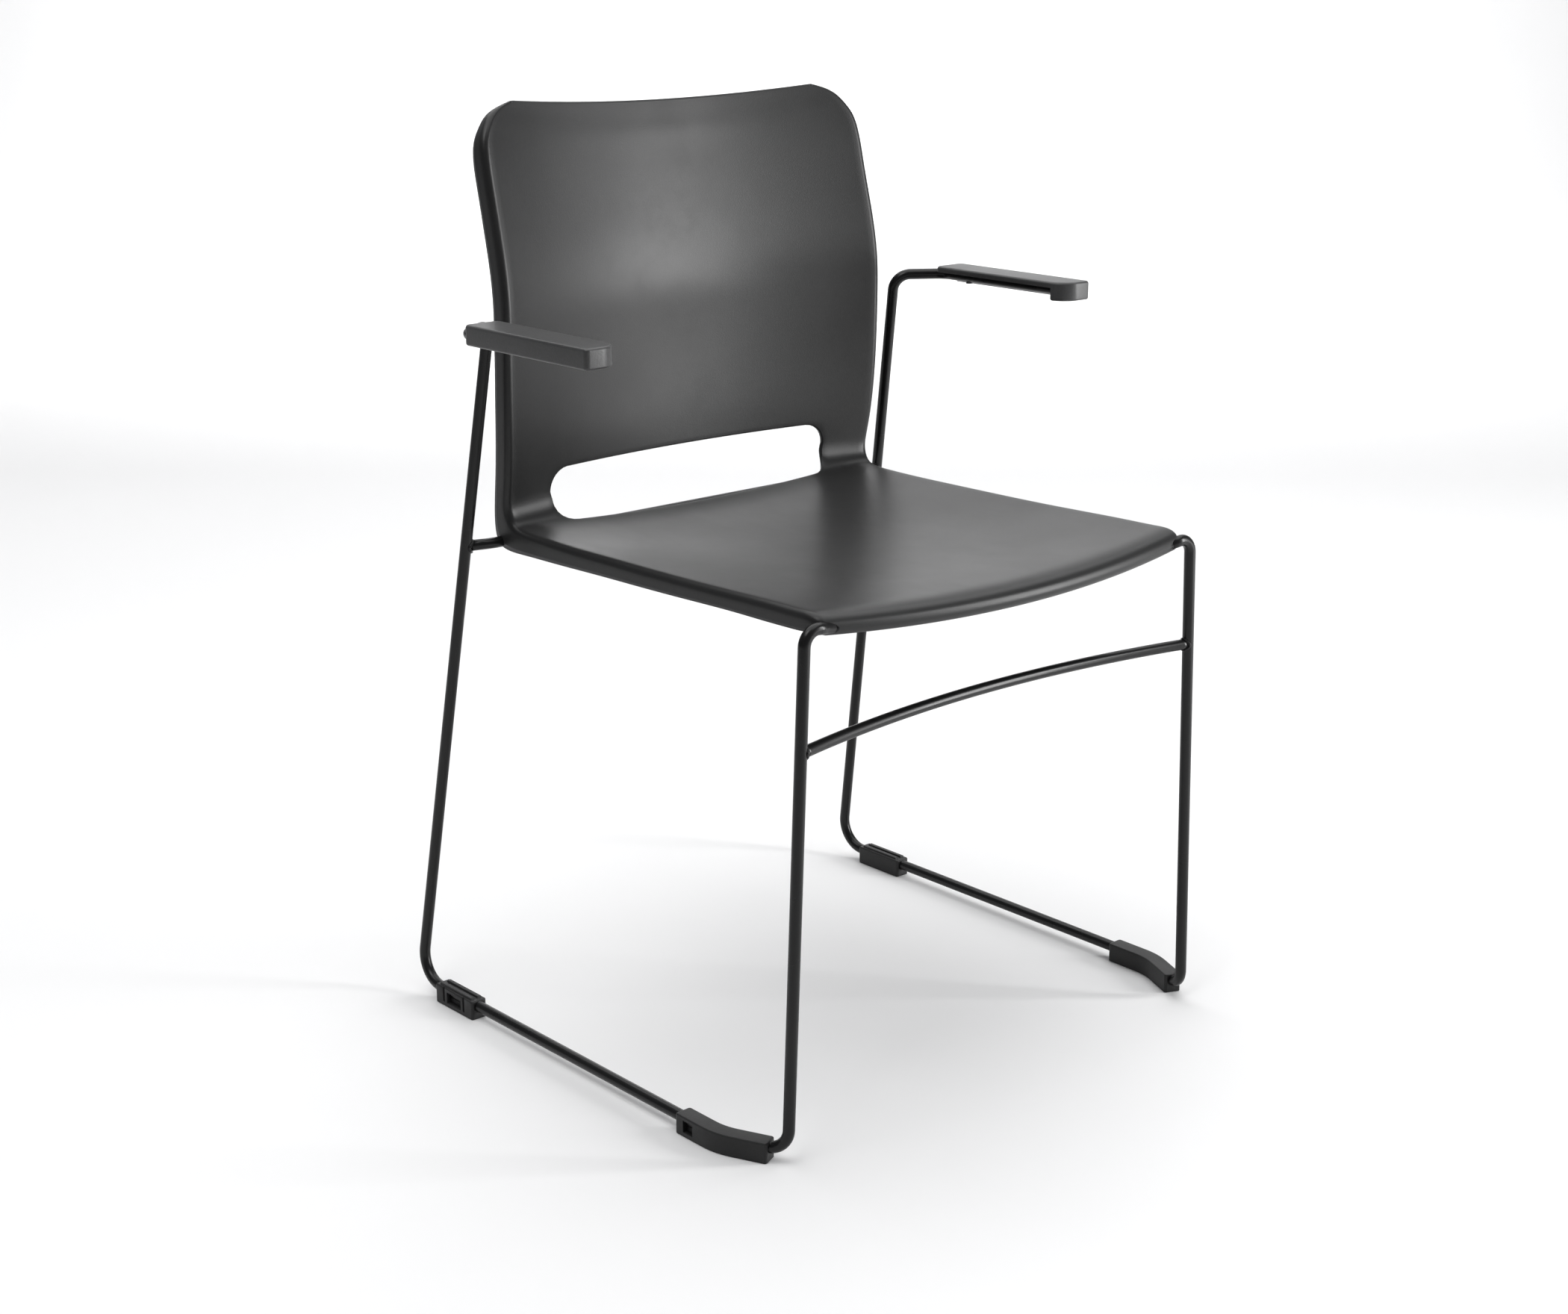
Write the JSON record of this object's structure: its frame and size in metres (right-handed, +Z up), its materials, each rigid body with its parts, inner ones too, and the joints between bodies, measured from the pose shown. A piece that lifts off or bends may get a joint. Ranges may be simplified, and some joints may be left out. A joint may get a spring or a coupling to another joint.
{
  "type": "stacking chair",
  "caption": "Stacking armchair: bent round-rod sled frame, one-piece moulded seat and back with an open slot between them, slim arm pads and clip-on floor glides.",
  "frame": {"origin": "on the floor, under the centre of the bounding box", "axes": "+Z up, -Y is the front of the chair, +X is the sitter's left"},
  "size_m": [0.574, 0.5042, 0.8038],
  "materials": {
    "frame_coat": "semi-gloss black powder coat on round steel rod",
    "shell_plastic": "fine-grained matte black moulded plastic",
    "arm_pad_plastic": "soft satin dark grey moulded plastic",
    "glide_plastic": "dense satin black moulded plastic",
    "screw_steel": "blackened zinc steel"
  },
  "bodies": {
    "root": {"arm_pad_left": "arm_pad_plastic", "arm_pad_right": "arm_pad_plastic", "arm_screw_front_left": "screw_steel", "arm_screw_front_right": "screw_steel", "arm_screw_rear_left": "screw_steel", "arm_screw_rear_right": "screw_steel", "back_screw_left": "screw_steel", "back_screw_right": "screw_steel", "back_support_left": "frame_coat", "back_support_right": "frame_coat", "back_tab_left": "frame_coat", "back_tab_right": "frame_coat", "front_crossbar": "frame_coat", "front_glide_left": "glide_plastic", "front_glide_right": "glide_plastic", "front_glide_screw_left": "screw_steel", "front_glide_screw_right": "screw_steel", "front_seat_rail": "frame_coat", "rear_crossbar": "frame_coat", "rear_glide_left": "glide_plastic", "rear_glide_right": "glide_plastic", "rear_glide_screw_left": "screw_steel", "rear_glide_screw_right": "screw_steel", "seat_rail_left": "frame_coat", "seat_rail_right": "frame_coat", "seat_screw_front_left": "screw_steel", "seat_screw_front_right": "screw_steel", "seat_screw_rear_left": "screw_steel", "seat_screw_rear_right": "screw_steel", "seat_tab_front_left": "frame_coat", "seat_tab_front_right": "frame_coat", "seat_tab_rear_left": "frame_coat", "seat_tab_rear_right": "frame_coat", "shell": "shell_plastic", "side_frame_left": "frame_coat", "side_frame_right": "frame_coat"}
  },
  "joints": []
}
